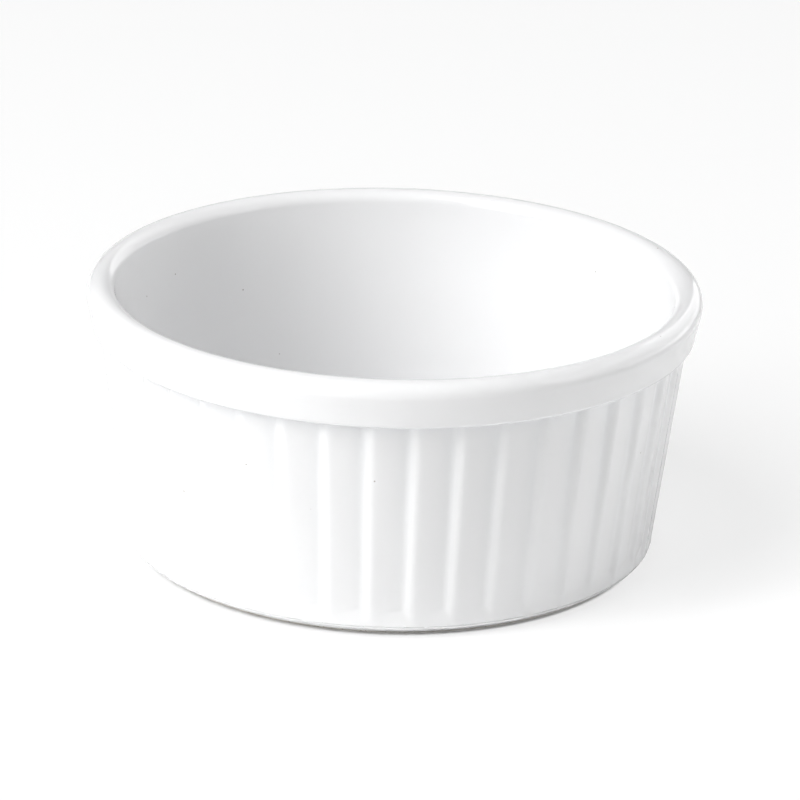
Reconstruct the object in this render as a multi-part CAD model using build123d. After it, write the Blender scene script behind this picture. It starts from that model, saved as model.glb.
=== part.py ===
from build123d import *
import os
from math import acos, cos, degrees, pi, radians, sin, tan

os.makedirs("parts", exist_ok=True)

# Round, straight-reeded porcelain ramekin, in millimetres. It stands on the plane z = 0 with its axis on Z.
# Sizes are the finished ones over the glaze, unless a name says otherwise.

# Rim and collar
rim_diameter = 89.0
height = 40.0
lip_thickness = 4.0
collar_height = 6.8
collar_taper_angle = radians(11.0)
collar_edge_radius = 0.55
ledge_width = 1.0

# Reeded wall
reed_count = 42
wall_draft_angle = radians(7.1)
reed_depth_at_ledge = 0.55
reed_depth_at_foot = 0.50
valley_place_share = 0.6
points_per_reed = 6

# Plain band under the reeds
edge_height = 1.2
edge_radius = 0.8
plain_band_height = 1.2
band_proud = 0.04
run_out_radius = 4.5

# Foot ring and the recess inside it
foot_setback = 1.7
foot_ring_width = 2.6
foot_corner_radius = 0.4
foot_bearing_radius = 0.4
recess_height = 1.5
recess_corner_radius = 0.8

# Inside
floor_thickness = 3.8
inner_draft_angle = radians(9.5)
inner_corner_radius = 6.0

# Glaze
glaze_thickness = 0.3
dry_height = 0.5

# How far hidden faces reach into their neighbours, so that joined solids overlap
core_cover = 0.3
overlap = 0.5
overrun = 1.0

# Places worked out from the sizes
rim_radius = rim_diameter / 2
lip_radius = lip_thickness / 2
lip_centre = (rim_radius - lip_radius, height - lip_radius)
ledge_level = height - collar_height
floor_level = recess_height + floor_thickness
run_out_level = edge_height + plain_band_height
reed_pitch = 2 * pi / reed_count
core_depth = reed_depth_at_ledge + core_cover


def polar(centre, radius, angle):
    """Point at the given distance and angle from a centre in the half section."""
    return (centre[0] + radius * cos(angle), centre[1] + radius * sin(angle))


def arc_between(centre, radius, first_angle, last_angle):
    """Arc about a centre of the half section, drawn through its middle."""
    middle_angle = (first_angle + last_angle) / 2
    return ThreePointArc(
        polar(centre, radius, first_angle),
        polar(centre, radius, middle_angle),
        polar(centre, radius, last_angle),
    )


def collar_radius(level):
    """Radius of the tapered collar face, which is tangent to the round of the lip."""
    face_at_centre = lip_centre[0] + lip_radius / cos(collar_taper_angle)
    return face_at_centre - (lip_centre[1] - level) * tan(collar_taper_angle)


def crest_radius(level):
    """Radius of the cone that the reed crests lie on."""
    at_ledge = collar_radius(ledge_level) - ledge_width
    return at_ledge - (ledge_level - level) * tan(wall_draft_angle)


def inner_radius(level):
    """Radius of the inner wall, which is tangent to the round of the lip."""
    face_at_centre = lip_centre[0] - lip_radius / cos(inner_draft_angle)
    return face_at_centre - (lip_centre[1] - level) * tan(inner_draft_angle)


def collar_edge_centre():
    """Centre of the round under the collar face."""
    level = ledge_level + collar_edge_radius
    return (collar_radius(level) - collar_edge_radius / cos(collar_taper_angle), level)


def bottom_edge_centre():
    """Centre of the round at the lower end of the plain band."""
    level = edge_height + edge_radius
    return (crest_radius(level) + band_proud - edge_radius / cos(wall_draft_angle), level)


def inner_corner_centre():
    """Centre of the round between the inner wall and the floor."""
    level = floor_level + inner_corner_radius
    return (inner_radius(level) - inner_corner_radius / cos(inner_draft_angle), level)


def run_out_centre():
    """Centre of the arc along which the valleys rise out of the wall."""
    start = (crest_radius(run_out_level) + band_proud, run_out_level)
    return polar(start, run_out_radius, pi - wall_draft_angle)


foot_outer_radius = crest_radius(edge_height) - foot_setback
foot_inner_radius = foot_outer_radius - foot_ring_width


def line_through(points):
    """Straight edges from each point to the next."""
    return [Line(start, end) for start, end in zip(points, points[1:])]


def ring_curves(inset):
    """Recess ceiling, foot ring and its outer corner, from the axis to the round of the bottom edge."""
    inner_face = foot_inner_radius + inset
    outer_face = foot_outer_radius - inset
    recess_centre = (foot_inner_radius - recess_corner_radius, recess_height - recess_corner_radius)
    inner_centre = (inner_face + foot_bearing_radius, foot_bearing_radius)
    outer_centre = (outer_face - foot_bearing_radius, foot_bearing_radius)
    recess_round = arc_between(recess_centre, recess_corner_radius + inset, pi / 2, 0)
    inner_round = arc_between(inner_centre, foot_bearing_radius, pi, 3 * pi / 2)
    outer_round = arc_between(outer_centre, foot_bearing_radius, -pi / 2, 0)
    return [
        Line((0, recess_height + inset), recess_round @ 0),
        recess_round,
        Line(recess_round @ 1, inner_round @ 0),
        inner_round,
        Line(inner_round @ 1, outer_round @ 0),
        outer_round,
    ]


def wall_curves(start, inset):
    """Outer face from a point on the foot ring to the lip, with the core cone behind the reeds."""
    corner_centre = (foot_outer_radius + foot_corner_radius, edge_height - foot_corner_radius)
    core_inset = (core_depth + inset) / cos(wall_draft_angle)
    arc_radius = run_out_radius - inset
    turn = acos((run_out_radius - band_proud - core_depth - inset) / arc_radius)
    corner = arc_between(corner_centre, foot_corner_radius + inset, pi, pi / 2)
    bottom_edge = arc_between(bottom_edge_centre(), edge_radius - inset, -pi / 2, -wall_draft_angle)
    run_out = arc_between(run_out_centre(), arc_radius, -wall_draft_angle, turn - wall_draft_angle)
    core_top = (crest_radius(ledge_level + inset) - core_inset, ledge_level + inset)
    collar_edge = arc_between(
        collar_edge_centre(), collar_edge_radius - inset, -pi / 2, -collar_taper_angle
    )
    lip = arc_between(lip_centre, lip_radius - inset, -collar_taper_angle, pi - inner_draft_angle)
    return [
        Line(start, corner @ 0),
        corner,
        Line(corner @ 1, bottom_edge @ 0),
        bottom_edge,
        Line(bottom_edge @ 1, run_out @ 0),
        run_out,
        Line(run_out @ 1, core_top),
        Line(core_top, collar_edge @ 0),
        collar_edge,
        Line(collar_edge @ 1, lip @ 0),
        lip,
    ]


def inside_curves(start, inset, axis_end):
    """Inner wall, its round into the floor and the floor, closed down the axis."""
    corner = arc_between(
        inner_corner_centre(), inner_corner_radius + inset, -inner_draft_angle, -pi / 2
    )
    floor_centre = (0, floor_level - inset)
    return [Line(start, corner @ 0), corner, Line(corner @ 1, floor_centre), Line(floor_centre, axis_end)]


def turned(curves):
    """Solid turned about the axis from the closed half section."""
    section = Plane.XZ * Face(Wire(curves))
    return revolve(section, Axis.Z)


def plain_body(foot, inset):
    """Everything but the reeds: foot, floor, core of the wall, collar and lip."""
    wall = wall_curves(foot[-1] @ 1, inset)
    inside = inside_curves(wall[-1] @ 1, inset, foot[0] @ 0)
    return turned(foot + wall + inside)


def reed_drop(place_share):
    """Share of the depth at a share of the pitch, for a wave whose valley lies off the middle."""
    valley_angle = 2 * pi * valley_place_share
    lean = (pi - valley_angle) / (1 - cos(valley_angle))
    angle = 2 * pi * place_share
    return (1 - cos(angle + lean * (1 - cos(angle)))) / 2


def reeded_outline(level, depth, inset):
    """Closed wavy outline at one height, through evenly spaced points of each reed from a crest on."""
    crest = crest_radius(level) - inset / cos(wall_draft_angle)
    points = []
    for reed in range(reed_count):
        for step in range(points_per_reed):
            place_share = step / points_per_reed
            angle = (reed + place_share) * reed_pitch - pi / 2
            radius = crest - depth * reed_drop(place_share)
            points.append((radius * cos(angle), radius * sin(angle)))
    outline = Face(Wire(Spline(*points, periodic=True)))
    return Pos(0, 0, level) * outline


def reed_depth(level):
    """Valley depth, which shrinks steadily from the ledge down to the bottom edge."""
    share = (level - edge_height) / (ledge_level - edge_height)
    return reed_depth_at_foot + share * (reed_depth_at_ledge - reed_depth_at_foot)


def reeded_sleeve(inset):
    """Ring of reeds round the core, from inside the plain band up into the collar."""
    low = run_out_level - overlap
    top = ledge_level + inset + overlap
    outside = loft(
        [reeded_outline(low, reed_depth(low), inset), reeded_outline(top, reed_depth(top), inset)],
        ruled=True,
    )
    hole_inset = (core_depth + inset + overlap) / cos(wall_draft_angle)
    below = low - overrun
    above = top + overrun
    corners = [
        (0, below),
        (crest_radius(below) - hole_inset, below),
        (crest_radius(above) - hole_inset, above),
        (0, above),
        (0, below),
    ]
    return outside - turned(line_through(corners))


def porcelain_body():
    """Fired body without its glaze."""
    return plain_body(ring_curves(glaze_thickness), glaze_thickness) + reeded_sleeve(glaze_thickness)


def glaze_coat(porcelain):
    """Glass layer over the inside, the lip, the wall and the outer side of the foot ring."""
    base = line_through([(0, dry_height), (foot_outer_radius, dry_height)])
    finished = plain_body(base, 0) + reeded_sleeve(0)
    ring_middle = (foot_inner_radius + foot_outer_radius) / 2
    plug_top = recess_height + floor_thickness / 2
    corners = [(0, 0), (ring_middle, 0), (ring_middle, plug_top), (0, plug_top), (0, 0)]
    return finished - porcelain - turned(line_through(corners))


def recess_glaze():
    """Glass layer on the ceiling and the inner side of the recess inside the foot ring."""
    centre = (foot_inner_radius - recess_corner_radius, recess_height - recess_corner_radius)
    outer_round = arc_between(centre, recess_corner_radius + glaze_thickness, pi / 2, 0)
    inner_round = arc_between(centre, recess_corner_radius, 0, pi / 2)
    outer_foot = (foot_inner_radius + glaze_thickness, dry_height)
    inner_foot = (foot_inner_radius, dry_height)
    top_centre = (0, recess_height + glaze_thickness)
    low_centre = (0, recess_height)
    return turned([
        Line(top_centre, outer_round @ 0),
        outer_round,
        Line(outer_round @ 1, outer_foot),
        Line(outer_foot, inner_foot),
        Line(inner_foot, inner_round @ 0),
        inner_round,
        Line(inner_round @ 1, low_centre),
        Line(low_centre, top_centre),
    ])


body = porcelain_body()
export_step(body, "parts/porcelain_body.step")
export_step(glaze_coat(body), "parts/glaze_coat.step")
export_step(recess_glaze(), "parts/recess_glaze.step")
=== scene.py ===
# %% [markdown]
# # A reeded porcelain ramekin
# A ramekin is one piece of fired porcelain under a skin of clear glass, the glaze.
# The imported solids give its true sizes. They stay where they are, and this script dresses
# them: a finer glaze surface, the dry foot under it, the light and the camera.

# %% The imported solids
import bpy
import numpy as np
from mathutils import Matrix, Vector


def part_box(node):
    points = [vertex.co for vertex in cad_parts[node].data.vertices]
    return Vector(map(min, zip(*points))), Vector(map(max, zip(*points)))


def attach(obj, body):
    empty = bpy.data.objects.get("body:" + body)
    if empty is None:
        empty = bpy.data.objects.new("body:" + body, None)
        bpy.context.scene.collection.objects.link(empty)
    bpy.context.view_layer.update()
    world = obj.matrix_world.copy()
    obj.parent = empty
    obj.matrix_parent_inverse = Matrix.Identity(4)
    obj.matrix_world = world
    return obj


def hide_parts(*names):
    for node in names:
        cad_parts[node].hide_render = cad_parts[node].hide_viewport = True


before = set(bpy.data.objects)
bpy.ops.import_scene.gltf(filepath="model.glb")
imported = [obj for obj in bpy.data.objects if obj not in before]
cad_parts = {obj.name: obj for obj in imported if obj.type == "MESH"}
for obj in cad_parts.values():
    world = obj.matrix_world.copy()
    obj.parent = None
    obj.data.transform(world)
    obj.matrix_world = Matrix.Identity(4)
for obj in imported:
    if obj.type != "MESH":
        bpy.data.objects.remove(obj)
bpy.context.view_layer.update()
MM = 0.001


# %% [markdown]
# ## Sizes
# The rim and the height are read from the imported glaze, so the new surface can't grow
# past the solid that it stands for. The smaller sizes are those of the dish itself: a
# full round lip, a plain collar, a wall that draws in towards the foot, and a short ring
# that the dish stands on.

# %% Sizes of the dish
coat_low, coat_high = (np.array(corner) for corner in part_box("glaze_coat"))
rim_radius = (coat_high[0] - coat_low[0]) / 2
rim_level = coat_high[2]
dry_level = coat_low[2]

lip_radius = 2.0 * MM
collar_height = 6.8 * MM
collar_taper = np.radians(11.0)
collar_edge_radius = 0.8 * MM
ledge_width = 1.0 * MM
ledge_fillet = 0.25 * MM
wall_draft = np.radians(7.1)
edge_height = 1.2 * MM
edge_radius = 0.8 * MM
foot_setback = 1.7 * MM
foot_corner_radius = 0.4 * MM
floor_level = 5.3 * MM
inner_draft = np.radians(9.5)
inner_corner_radius = 6.0 * MM
glaze_thickness = 0.3 * MM

lip_centre = np.array([rim_radius - lip_radius, rim_level - lip_radius])
ledge_level = rim_level - collar_height
print("rim radius", round(rim_radius / MM, 2), "mm, height", round(rim_level / MM, 2), "mm")

# %% [markdown]
# ## The half section
# Cut the dish through its axis and one side shows a single closed line. Most of it is
# straight lines joined by arcs that touch them smoothly, so each stretch is a line or an
# arc here too. A lathe tool would follow the same line. Only the reeds are not turned:
# they come later as a wave that is added to the radius.


# %% Lines and arcs of the section
def arc(centre, radius, first, last, count):
    """Points at one distance from a centre while the angle runs evenly from first to last."""
    angle = np.linspace(first, last, count)[:, None]
    return centre + radius * np.hstack([np.cos(angle), np.sin(angle)])


def line(start, end, count):
    """Points that share a straight line evenly, without its two ends."""
    share = np.linspace(0, 1, count + 2)[1:-1, None]
    return start + share * (np.array(end) - start)


def collar_radius(level):
    """Radius of the collar face: outer side of the lip less the drop times the taper's tangent."""
    at_lip = lip_centre[0] + lip_radius / np.cos(collar_taper)
    return at_lip - (lip_centre[1] - level) * np.tan(collar_taper)


def crest_radius(level):
    """Radius of the reed crests: that at the ledge less the drop times the draft's tangent."""
    at_ledge = collar_radius(ledge_level) - ledge_width
    return at_ledge - (ledge_level - level) * np.tan(wall_draft)


def inner_radius(level):
    """Radius of the inner wall: inner side of the lip less the drop times the draft's tangent."""
    at_lip = lip_centre[0] - lip_radius / np.cos(inner_draft)
    return at_lip - (lip_centre[1] - level) * np.tan(inner_draft)


print("radius at the ledge: collar", round(collar_radius(ledge_level) / MM, 2), "mm,",
      "reed crests", round(crest_radius(ledge_level) / MM, 2), "mm")

# %% Inside, lip and collar
quarter = np.pi / 2
corner_level = floor_level + inner_corner_radius
corner_distance = inner_radius(corner_level) - inner_corner_radius / np.cos(inner_draft)
corner_centre = np.array([corner_distance, corner_level])
collar_edge_level = ledge_level + collar_edge_radius
collar_edge_distance = collar_radius(collar_edge_level) - collar_edge_radius / np.cos(collar_taper)
collar_edge_centre = np.array([collar_edge_distance, collar_edge_level])

# The last number of each line or arc is how many rows of points it gets
inner_corner = arc(corner_centre, inner_corner_radius, -quarter, -inner_draft, 14)
lip = arc(lip_centre, lip_radius, np.pi - inner_draft, -collar_taper, 30)
collar_edge = arc(collar_edge_centre, collar_edge_radius, -collar_taper, -quarter, 8)
floor = line((0, floor_level), inner_corner[0], 9)
inner_wall = line(inner_corner[-1], lip[0], 9)
collar = line(lip[-1], collar_edge[0], 4)
plain_rows = np.vstack([floor, inner_corner, inner_wall, lip, collar, collar_edge])
print("rows from the floor to the collar edge:", len(plain_rows))

# %% [markdown]
# ## The reeds
# Forty-two reeds stand side by side round the wall, softly rounded under the glaze. A
# modeller could build one reed and repeat it, but the joints would show in a glossy
# surface. A wave in the radius has no joints. It leans: from each crest it slopes evenly
# down, and then one short soft climb leads to the next crest. The climb catches the light
# as a narrow bright line, and the slope stays in an even shade.
# Near the foot the valleys rise out of the wall along an arc, as the end of a round cutter
# would leave them, and a narrow plain band is left below.

# %% Sizes of the reeds
reed_count = 42
reed_depth_at_ledge = 0.61 * MM
reed_depth_at_foot = 0.38 * MM
# The climb in shares of the pitch: its middle, counted from the dish's front on -Y, and its width
climb_place = 0.82
climb_share = 0.40

plain_band_height = 0.6 * MM
run_out_radius = 7.0 * MM
run_out_blend = 0.2 * MM
run_out_level = edge_height + plain_band_height
print("reeds:", reed_count, "with a pitch of", round(360 / reed_count, 2), "degrees")


# %% The wave of the reeds
def soft_step(share):
    """Step from 0 to 1 with level ends: the share less the sine of its full turn over that turn."""
    return share - np.sin(2 * np.pi * share) / (2 * np.pi)


def reed_wave(turn):
    """Depth from 0 on a crest to 1 in a valley: the place along the slope less the soft step."""
    middle = 0.5
    place = np.mod(reed_count * (turn + quarter) / (2 * np.pi) - climb_place + middle, 1)
    climbed = np.clip((place - middle) / climb_share + middle, 0, 1)
    fall = place - soft_step(climbed)
    # The fall is largest where the climb grows as steep as the slope
    climbed_in_valley = np.arccos(1 - climb_share) / (2 * np.pi)
    valley_place = middle + climb_share * (climbed_in_valley - middle)
    largest = valley_place - soft_step(climbed_in_valley)
    return (1 + fall / largest) / 2


def reed_depth(level):
    """Depth of the valleys, which grows evenly from the bottom edge up to the ledge."""
    share = (level - edge_height) / (ledge_level - edge_height)
    return reed_depth_at_foot + share * (reed_depth_at_ledge - reed_depth_at_foot)


def run_out_drop(level):
    """How far the arc lies inside the crests: its radius less the root of its square less the rise's."""
    rise = np.clip((level - run_out_level) / np.cos(wall_draft), 0, run_out_radius)
    return run_out_radius - np.sqrt(run_out_radius**2 - rise**2)


def smooth_larger(first, second, blend):
    """The larger of two arrays, rounded where they cross.

    A share grows from 0 to 1 while the first passes the second by the blend. The result is the
    second plus that share of the difference, plus the blend times the share times its rest.
    """
    share = np.clip(0.5 + (first - second) / (2 * blend), 0, 1)
    return second + share * (first - second) + blend * share * (1 - share)


def reed_offset(level, turn):
    """Radius to add to the crest cone: minus the depth times the wave, held up by the run-out arc."""
    wave = -reed_depth(level) * reed_wave(turn)
    ended = smooth_larger(wave, -run_out_drop(level), run_out_blend)
    return np.where(level > run_out_level + run_out_radius, wave, ended)


one_pitch = np.linspace(0, 2 * np.pi / reed_count, 1000, endpoint=False) - quarter
wave_of_pitch = reed_wave(one_pitch)
crest_to_valley = np.mod((wave_of_pitch.argmax() - wave_of_pitch.argmin()) / len(one_pitch), 1)
print("from a crest down to its valley:", round(float(crest_to_valley), 2), "of the pitch")

# %% Ledge, wall and foot
edge_level = edge_height + edge_radius
edge_centre = np.array([crest_radius(edge_level) - edge_radius / np.cos(wall_draft), edge_level])
foot_radius = crest_radius(edge_height) - foot_setback
foot_corner_centre = np.array([foot_radius + foot_corner_radius, edge_height - foot_corner_radius])
wall_top = ledge_level - ledge_fillet
fillet_centre = np.array([crest_radius(wall_top) + ledge_fillet, wall_top])
ledge = line(collar_edge[-1], (fillet_centre[0], ledge_level), 3)
fillet = arc(fillet_centre, ledge_fillet, quarter, np.pi, 6)

# The rows of the wall lie closer together where the valleys run out
close_rows_height = 3.0 * MM
close_rows_top = run_out_level + close_rows_height
levels = np.concatenate([
    np.linspace(wall_top, close_rows_top, 14)[1:],
    np.linspace(close_rows_top, run_out_level, 16)[1:]])
wall = np.column_stack([crest_radius(levels), levels])
bottom_edge = arc(edge_centre, edge_radius, -wall_draft, -quarter, 9)
foot_corner = arc(foot_corner_centre, foot_corner_radius, quarter, np.pi, 5)
underside = line(bottom_edge[-1], foot_corner[0], 1)
foot_face = line(foot_corner[-1], (foot_radius, dry_level), 1)
dry_line = np.array([[foot_radius, dry_level]])

rows = np.vstack([
    plain_rows, ledge, fillet, wall, bottom_edge, underside, foot_corner, foot_face, dry_line])
first_ledge = len(plain_rows)
first_fillet = first_ledge + len(ledge)
after_wall = first_fillet + len(fillet) + len(wall)
wave_share = np.zeros(len(rows))
wave_share[first_ledge:first_fillet] = np.linspace(0, 1, len(ledge) + 2)[1:-1]
wave_share[first_fillet:after_wall] = 1
print("rows in all:", len(rows), "of which carry reeds:", int((wave_share == 1).sum()))

# %% [markdown]
# ## The glaze as a closed skin
# The skin has an outer face that the eye sees and an inner face that lies on the clay.
# The inner face is the same section moved inwards by the thickness of the glaze, so the
# two together make one thin closed shell. A Solidify modifier could add the inner face too,
# but it would repeat every row of the outer one. Nobody sees the inner face, so here it
# makes do with every fourth row. The grid closes in the middle of the dish at two poles,
# one on each face, and both have a single vertex there.


# %% Grid surfaces
def inward(section, thickness):
    """The section moved square to its run: each point less the thickness times its outward normal."""
    run = np.gradient(section, axis=0)
    run /= np.linalg.norm(run, axis=1)[:, None]
    moved = section + thickness * np.column_stack([run[:, 1], -run[:, 0]])
    moved[:, 0] = np.maximum(moved[:, 0], 0)
    return moved


def turned_points(section, wave_share, turn):
    """Radius times cosine, radius times sine and height, the radius being the section's plus the wave."""
    level = section[:, 1][:, None]
    offset = reed_offset(np.minimum(level, wall_top), turn[None, :])
    radius = section[:, 0][:, None] + wave_share[:, None] * offset
    height = np.broadcast_to(level, radius.shape)
    return np.stack([radius * np.cos(turn), radius * np.sin(turn), height], axis=-1)


def closed_skin(name, points, first_pole, last_pole):
    """Mesh of a grid of rings closed round the axis, with a fan to one vertex at each end."""
    ring_count, column_count = points.shape[:2]
    index = np.arange(ring_count * column_count).reshape(ring_count, column_count)
    following = np.roll(index, -1, axis=1)
    quads = np.stack([index[:-1], index[1:], following[1:], following[:-1]], axis=-1).reshape(-1, 4)
    poles = index.size + np.arange(2)
    first_fan = np.column_stack([np.full(column_count, poles[0]), index[0], following[0]])
    last_fan = np.column_stack([np.full(column_count, poles[1]), following[-1], index[-1]])
    vertices = np.vstack([points.reshape(-1, 3), [first_pole], [last_pole]])
    corners = np.concatenate([quads.ravel(), first_fan.ravel(), last_fan.ravel()])
    sizes = np.concatenate([np.full(len(quads), 4), np.full(2 * column_count, 3)])
    mesh = bpy.data.meshes.new(name)
    mesh.vertices.add(len(vertices))
    mesh.vertices.foreach_set("co", vertices.ravel())
    mesh.loops.add(len(corners))
    mesh.loops.foreach_set("vertex_index", corners)
    mesh.polygons.add(len(sizes))
    mesh.polygons.foreach_set("loop_start", np.concatenate([[0], np.cumsum(sizes)[:-1]]))
    mesh.polygons.foreach_set("use_smooth", np.ones(len(sizes), dtype=bool))
    mesh.update(calc_edges=True)
    mesh.validate()
    piece = bpy.data.objects.new(name, mesh)
    bpy.context.scene.collection.objects.link(piece)
    return piece


# %% The glaze
columns_per_reed = 14
hidden_row_step = 4
turn = np.linspace(0, 2 * np.pi, reed_count * columns_per_reed, endpoint=False)
hidden_rows = np.arange(len(rows) - 1, -1, -hidden_row_step)
section = np.vstack([rows, inward(rows, glaze_thickness)[hidden_rows]])
section_wave_share = np.concatenate([wave_share, wave_share[hidden_rows]])
glaze = closed_skin(
    "glaze", turned_points(section, section_wave_share, turn),
    (0, 0, floor_level), (0, 0, floor_level - glaze_thickness))
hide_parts("glaze_coat")
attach(glaze, "root")
print("glaze:", len(glaze.data.vertices), "vertices,", len(glaze.data.polygons), "faces")

# %% [markdown]
# ## Where the glaze lies thick
# Molten glaze runs off ridges and gathers in hollows before it sets. It is clear glass
# with a trace of blue, so a hollow looks a little cooler and greyer than a ridge. Each
# vertex of the skin carries a number for that: most in the valleys between the reeds, in
# the corner under the ledge and where the inner wall meets the floor. The greying is partly
# painted shade, for the shade that falls in these hollows. It could be painted on by hand,
# but the section already says where the hollows are, so it is worked out.

# %% Pooled glaze and painted shade
pool_and_shade_under_ledge = np.array([crest_radius(ledge_level), ledge_level])
pool_and_shade_round_floor = np.array([corner_centre[0] + 4.0 * MM, floor_level + 2.0 * MM])
pool_and_shade_reaches = np.array([1.0, 4.0]) * MM


def pooled_and_shaded_share(section, wave_share, turn):
    """Share of pooled glaze and painted shade: the cube of the wave's share of its depth, or a bell in
    the distance from the nearer pool.
    """
    pool_and_shade_places = np.array([pool_and_shade_under_ledge, pool_and_shade_round_floor])
    distance = np.linalg.norm(section[:, None, :] - pool_and_shade_places[None, :, :], axis=2)
    near = np.exp(-(distance / pool_and_shade_reaches) ** 2).max(axis=1)
    level = section[:, 1][:, None]
    deep = (-reed_offset(np.minimum(level, wall_top), turn[None, :]) / reed_depth_at_ledge) ** 3
    return np.clip(np.maximum(near[:, None], wave_share[:, None] * deep), 0, 1)


# This share greys the glaze as painted shade in the valleys and corners, as well as for the cooler pooled
# glaze.
pooled_and_shaded = glaze.data.attributes.new("pooled_and_shaded", "FLOAT", "POINT")
pooled_and_shaded_at_poles = [0, 0]
pooled_and_shaded_values = np.append(pooled_and_shaded_share(section, section_wave_share, turn).ravel(), pooled_and_shaded_at_poles)
pooled_and_shaded.data.foreach_set("value", pooled_and_shaded_values)
print("pooled glaze: mean share", round(float(pooled_and_shaded_values.mean()), 3))

# %% [markdown]
# ## Parts of a material
# Both finishes of the dish are made of the same few parts: noise of a true size, a value
# spread over a new range, a blend of two colours and a bump. Each part is a small function
# here, so that a finish reads like a recipe. A picture of a real glaze could be wrapped
# round the dish instead, but it would show a seam. The noise runs in the object's own
# coordinates, so it has none.


# %% Noise, ranges, blends and bumps
def new_material(name):
    """Material with its own Principled shader, and the tree's parts in easy reach."""
    material = bpy.data.materials.new(name)
    material.use_nodes = True
    return material, material.node_tree, material.node_tree.nodes["Principled BSDF"]


def grain(tree, size, detail=2.0):
    """Noise whose patches are about the given size across, in the object's own coordinates."""
    place = tree.nodes.new("ShaderNodeTexCoord")
    noise = tree.nodes.new("ShaderNodeTexNoise")
    noise.inputs["Scale"].default_value = 1 / size
    noise.inputs["Detail"].default_value = detail
    tree.links.new(place.outputs["Object"], noise.inputs["Vector"])
    return noise.outputs["Fac"]


def spread(tree, value, low, high, new_low, new_high):
    """The value's range from low to high, spread evenly over a new range and held there."""
    node = tree.nodes.new("ShaderNodeMapRange")
    numbers = {"From Min": low, "From Max": high, "To Min": new_low, "To Max": new_high}
    for socket, number in numbers.items():
        node.inputs[socket].default_value = number
    tree.links.new(value, node.inputs["Value"])
    return node.outputs["Result"]


def blend(tree, share, first, second):
    """Colour from the first, which may come from a node, to the second as the share grows."""
    node = tree.nodes.new("ShaderNodeMix")
    node.data_type = "RGBA"
    if isinstance(first, tuple):
        node.inputs["A"].default_value = (*first, 1)
    else:
        tree.links.new(first, node.inputs["A"])
    node.inputs["B"].default_value = (*second, 1)
    tree.links.new(share, node.inputs["Factor"])
    return node.outputs["Result"]


def relief(tree, height, depth, under=None):
    """Bump of the given depth, laid over another bump if there is one."""
    node = tree.nodes.new("ShaderNodeBump")
    node.inputs["Distance"].default_value = depth
    tree.links.new(height, node.inputs["Height"])
    if under is not None:
        tree.links.new(under, node.inputs["Normal"])
    return node.outputs["Normal"]


def put_on(piece, material):
    """The material in the piece's only slot."""
    piece.data.materials.clear()
    piece.data.materials.append(material)


# %% [markdown]
# ## The white glaze
# The glaze is colourless glass over white clay. What tells it from plastic is a sharp
# reflection on a surface that is slightly uneven: a slow waviness from the hand that
# wiped the mould, and a finer orange peel where the glass drew together as it cooled.
# Two bumps of different sizes give both. Here and there a grain of iron in the clay
# leaves a pinpoint, and points scattered by a Voronoi texture stand for those.


# %% White glaze
def specks(tree, colour):
    """The colour with sparse dark pinpoints: places within a speck's radius of a scattered point."""
    spacing, radius = 5.0 * MM, 0.16 * MM
    dark_colour = (0.36, 0.33, 0.30)
    place = tree.nodes.new("ShaderNodeTexCoord")
    scattered = tree.nodes.new("ShaderNodeTexVoronoi")
    scattered.inputs["Scale"].default_value = 1 / spacing
    tree.links.new(place.outputs["Object"], scattered.inputs["Vector"])
    reach = radius / spacing
    near = spread(tree, scattered.outputs["Distance"], reach / 2, reach, 1, 0)
    return blend(tree, near, colour, dark_colour)


def white_glaze():
    """Clear glass over white clay, cooler and darker where the glaze pools, partly as painted shade, with
    a waviness and orange peel.
    """
    # The second colour is darker partly as painted shade in the hollows, and cooler for the pooled glaze.
    thin_colour, thick_and_shaded_colour = (0.800, 0.801, 0.806), (0.768, 0.774, 0.784)
    sheen_size, wave_size, peel_size = 9.0 * MM, 14.0 * MM, 1.6 * MM
    wave_depth, peel_depth = 0.03 * MM, 0.0025 * MM
    sheen_range, least_rough, most_rough = (0.3, 0.7), 0.05, 0.10
    material, tree, shader = new_material("white glaze")
    thickness_and_shade = tree.nodes.new("ShaderNodeAttribute")
    thickness_and_shade.attribute_name = "pooled_and_shaded"
    colour = blend(tree, thickness_and_shade.outputs["Fac"], thin_colour, thick_and_shaded_colour)
    sheen = spread(tree, grain(tree, sheen_size), *sheen_range, least_rough, most_rough)
    waves = relief(tree, grain(tree, wave_size, detail=0.5), wave_depth)
    peel = relief(tree, grain(tree, peel_size, detail=1.0), peel_depth, waves)
    tree.links.new(specks(tree, colour), shader.inputs["Base Color"])
    tree.links.new(sheen, shader.inputs["Roughness"])
    tree.links.new(peel, shader.inputs["Normal"])
    shader.inputs["IOR"].default_value = 1.5
    return material


glaze_finish = white_glaze()
put_on(glaze, glaze_finish)
put_on(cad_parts["recess_glaze"], glaze_finish)
print("glaze on:", glaze.name, "and recess_glaze")

# %% [markdown]
# ## The dry foot
# The foot ring was wiped clean before the firing, so that the dish would not stick to
# the kiln shelf. It is bare clay: matt, a shade warmer, and speckled with fine grit. The
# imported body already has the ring's shape, so it only needs a finish of its own.


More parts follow.
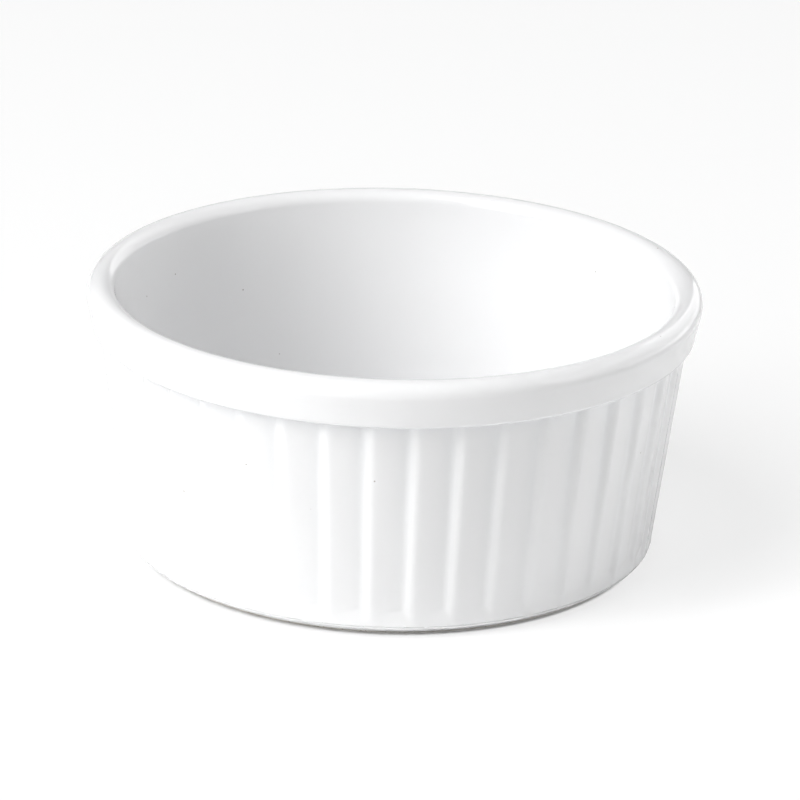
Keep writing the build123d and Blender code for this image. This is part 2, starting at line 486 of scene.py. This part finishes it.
# %% Dry clay of the foot
def dry_clay():
    """Bare fired clay: two warm whites mottled finely, sparse darker grit and a rough grain."""
    light_colour, dark_colour = (0.70, 0.67, 0.63), (0.62, 0.59, 0.55)
    grit_colour = (0.42, 0.37, 0.32)
    mottle_size, grit_size, grain_size = 0.8 * MM, 0.35 * MM, 0.5 * MM
    mottle_range, grit_range = (0.35, 0.65), (0.70, 0.74)
    grain_depth = 0.02 * MM
    material, tree, shader = new_material("dry clay of the foot")
    mottle = spread(tree, grain(tree, mottle_size), *mottle_range, 0, 1)
    clay = blend(tree, mottle, light_colour, dark_colour)
    grit = spread(tree, grain(tree, grit_size, detail=0), *grit_range, 0, 1)
    rough_grain = relief(tree, grain(tree, grain_size), grain_depth)
    tree.links.new(blend(tree, grit, clay, grit_colour), shader.inputs["Base Color"])
    tree.links.new(rough_grain, shader.inputs["Normal"])
    shader.inputs["Roughness"].default_value = 0.85
    return material


put_on(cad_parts["porcelain_body"], dry_clay())
print("dry clay on porcelain_body, which shows only on the foot ring")

# %% [markdown]
# ## Camera
# The camera stands well back, as for a catalogue picture, looks down by about twenty
# degrees and is tilted a degree and a half about its own line of sight. Its place and its
# lens were worked out by laying the outlines of the rim, the wall and the foot over those
# of the picture, so they are odd numbers. The aim is a little beside the axis, and the
# shifts say by how many picture points.

# %% Camera
camera_distance = 631.76 * MM
camera_elevation = 0.358347
camera_roll = 0.026749
camera_turn = np.radians(2.67)
aim_level = 21.756 * MM
focal_pixels = 4323.9
frame_pixels = 800
aim_shift_x, aim_shift_y = -7.73, -3.40

look = Vector((0, np.cos(camera_elevation), -np.sin(camera_elevation)))
right = Vector((1, 0, 0))
up = right.cross(look)
ray = look + right * (aim_shift_x / focal_pixels) - up * (aim_shift_y / focal_pixels)
place = Vector((0, 0, aim_level)) - ray * camera_distance
rolled_right = right * np.cos(camera_roll) + up * np.sin(camera_roll)
rolled_up = up * np.cos(camera_roll) - right * np.sin(camera_roll)
turning = Matrix((rolled_right, rolled_up, -look)).transposed().to_4x4()
camera = bpy.data.objects.new("camera", bpy.data.cameras.new("camera"))
camera.matrix_world = Matrix.Rotation(camera_turn, 4, "Z") @ Matrix.Translation(place) @ turning
camera.data.lens = camera.data.sensor_width * focal_pixels / frame_pixels
camera.data.clip_start, camera.data.clip_end = 0.05, 20
bpy.context.scene.collection.objects.link(camera)
bpy.context.scene.camera = camera
print("lens", round(camera.data.lens, 1), "mm")

# %% [markdown]
# ## Floor
# The dish stands on a white sheet of paper. The camera sees the sheet nearer to plain
# white than its light makes it, and still with a soft shadow. Right beside the foot it is
# left as it is, because a dark line there shows that the dish stands on a ring. Seen from
# below the sheet is open, and it glows a little under the dish, where no lamp reaches, so
# that the underside can be looked at too.


# %% Floor
def calculated(tree, operation, first, second):
    """The two values multiplied, or the larger of them, as the operation says."""
    node = tree.nodes.new("ShaderNodeMath")
    node.operation = operation
    tree.links.new(first, node.inputs[0])
    tree.links.new(second, node.inputs[1])
    return node.outputs[0]


def mixed(tree, share, first, second):
    """Shader that goes from the first to the second as the share grows."""
    node = tree.nodes.new("ShaderNodeMixShader")
    for value, socket in zip((share, first, second), node.inputs):
        tree.links.new(value, socket)
    return node.outputs[0]


# Where the glow fades out under the ring, and where the plain white sets in outside it
glow_fade_radii = foot_radius - 1.4 * MM, foot_radius - 0.4 * MM
white_onset_radii = foot_radius - 0.1 * MM, foot_radius + 0.4 * MM


def white_sheet(shown_share, glow_share):
    """Matt white, partly plain white to the camera, aglow under the dish and open from below."""
    material, tree, shader = new_material("white sheet")
    shader.inputs["Base Color"].default_value = (0.95, 0.95, 0.95, 1)
    shader.inputs["Roughness"].default_value = 1.0
    shader.inputs["Specular IOR Level"].default_value = 0
    place = tree.nodes.new("ShaderNodeTexCoord")
    from_axis = tree.nodes.new("ShaderNodeVectorMath")
    from_axis.operation = "LENGTH"
    tree.links.new(place.outputs["Object"], from_axis.inputs[0])
    distance = from_axis.outputs["Value"]
    glow = spread(tree, distance, *glow_fade_radii, glow_share, 0)
    whitened = spread(tree, distance, *white_onset_radii, 0, shown_share)
    path = tree.nodes.new("ShaderNodeLightPath")
    seen = calculated(tree, "MULTIPLY", path.outputs["Is Camera Ray"], whitened)
    plain_share = calculated(tree, "MAXIMUM", glow, seen)
    plain_white = tree.nodes.new("ShaderNodeEmission").outputs[0]
    lit_side = mixed(tree, plain_share, shader.outputs[0], plain_white)
    side = tree.nodes.new("ShaderNodeNewGeometry")
    clear = tree.nodes.new("ShaderNodeBsdfTransparent").outputs[0]
    both_sides = mixed(tree, side.outputs["Backfacing"], lit_side, clear)
    tree.links.new(both_sides, tree.nodes["Material Output"].inputs["Surface"])
    return material


sheet_half = 3.0
sheet_drop = 0.01 * MM
square = np.array([[-1, -1, 0], [1, -1, 0], [1, 1, 0], [-1, 1, 0]])
corners = square * sheet_half - [0, 0, sheet_drop]
sheet_mesh = bpy.data.meshes.new("sheet")
sheet_mesh.from_pydata(corners.tolist(), [], [(0, 1, 2, 3)])
sheet = bpy.data.objects.new("sheet", sheet_mesh)
bpy.context.scene.collection.objects.link(sheet)
put_on(sheet, white_sheet(shown_share=0.7, glow_share=0.6))
print("sheet", 2 * sheet_half, "m square")

# %% [markdown]
# ## Lamps
# Two tall narrow lamps stand side by side on the left and give the reeds their bright
# lines: narrow across, so that the lines stay crisp, and tall, so that the rim throws no
# hard shadow into the dish. A wide lamp on the right leaves that side in an even half
# shade, and a weak one close to the floor lightens the lower wall there. A little light
# from above rounds the lip.


# %% Lamps
def soft_lamp(name, azimuth, elevation, distance, width, tall, watts):
    """Rectangular lamp that faces the dish from an azimuth off the camera, left being negative.

    It stands towards the azimuth's sine and minus its cosine, each times the elevation's cosine,
    and towards the elevation's sine. Angles are in degrees, distance, width and height in metres.
    """
    lamp = bpy.data.lights.new(name, "AREA")
    lamp.shape = "RECTANGLE"
    lamp.size = width
    lamp.size_y = tall
    lamp.energy = watts
    turned, raised = np.radians(azimuth) + camera_turn, np.radians(elevation)
    across = np.cos(raised)
    direction = Vector((np.sin(turned) * across, -np.cos(turned) * across, np.sin(raised)))
    item = bpy.data.objects.new(name, lamp)
    item.location = Vector((0, 0, aim_level)) + direction * distance
    item.rotation_mode = "QUATERNION"
    item.rotation_quaternion = direction.to_track_quat("Z", "Y")
    bpy.context.scene.collection.objects.link(item)
    return item


lamps = [
    soft_lamp("key", azimuth=-62, elevation=42, distance=1.0, width=0.25, tall=1.2, watts=8.0),
    soft_lamp("second key", azimuth=-47, elevation=42, distance=1.0, width=0.4, tall=1.2, watts=6.3),
    soft_lamp("fill", azimuth=112, elevation=14, distance=1.3, width=3.2, tall=1.6, watts=24),
    soft_lamp("low fill", azimuth=105, elevation=6, distance=0.4, width=0.4, tall=0.1, watts=0.13),
    soft_lamp("top", azimuth=-25, elevation=70, distance=1.0, width=1.0, tall=1.0, watts=1.5)]
print("lamps:", [(lamp.name, round(lamp.data.energy, 2)) for lamp in lamps])

# %% [markdown]
# ## Surroundings
# A glossy dish mirrors the room round it. The room is plain white to the camera and fairly
# bright in the reflections, so the glaze gets a pale sheen, but it gives very little light
# of its own, so that the lamps alone do the shading.

# %% Surroundings
world = bpy.data.worlds.new("world")
world.use_nodes = True
bpy.context.scene.world = world
tree = world.node_tree
room = tree.nodes["Background"]
room.inputs["Color"].default_value = (0.96, 0.97, 1.0, 1)
lit_strength, mirrored_strength = 0.03, 0.4
path = tree.nodes.new("ShaderNodeLightPath")
strength = spread(tree, path.outputs["Is Glossy Ray"], 0, 1, lit_strength, mirrored_strength)
tree.links.new(strength, room.inputs["Strength"])
plain_white = tree.nodes.new("ShaderNodeBackground").outputs[0]
surroundings = mixed(tree, path.outputs["Is Camera Ray"], room.outputs[0], plain_white)
tree.links.new(surroundings, tree.nodes["World Output"].inputs["Surface"])
bpy.context.scene.view_settings.view_transform = "Standard"
print("surroundings give", lit_strength, "of white as a light and", mirrored_strength, "in mirrors")
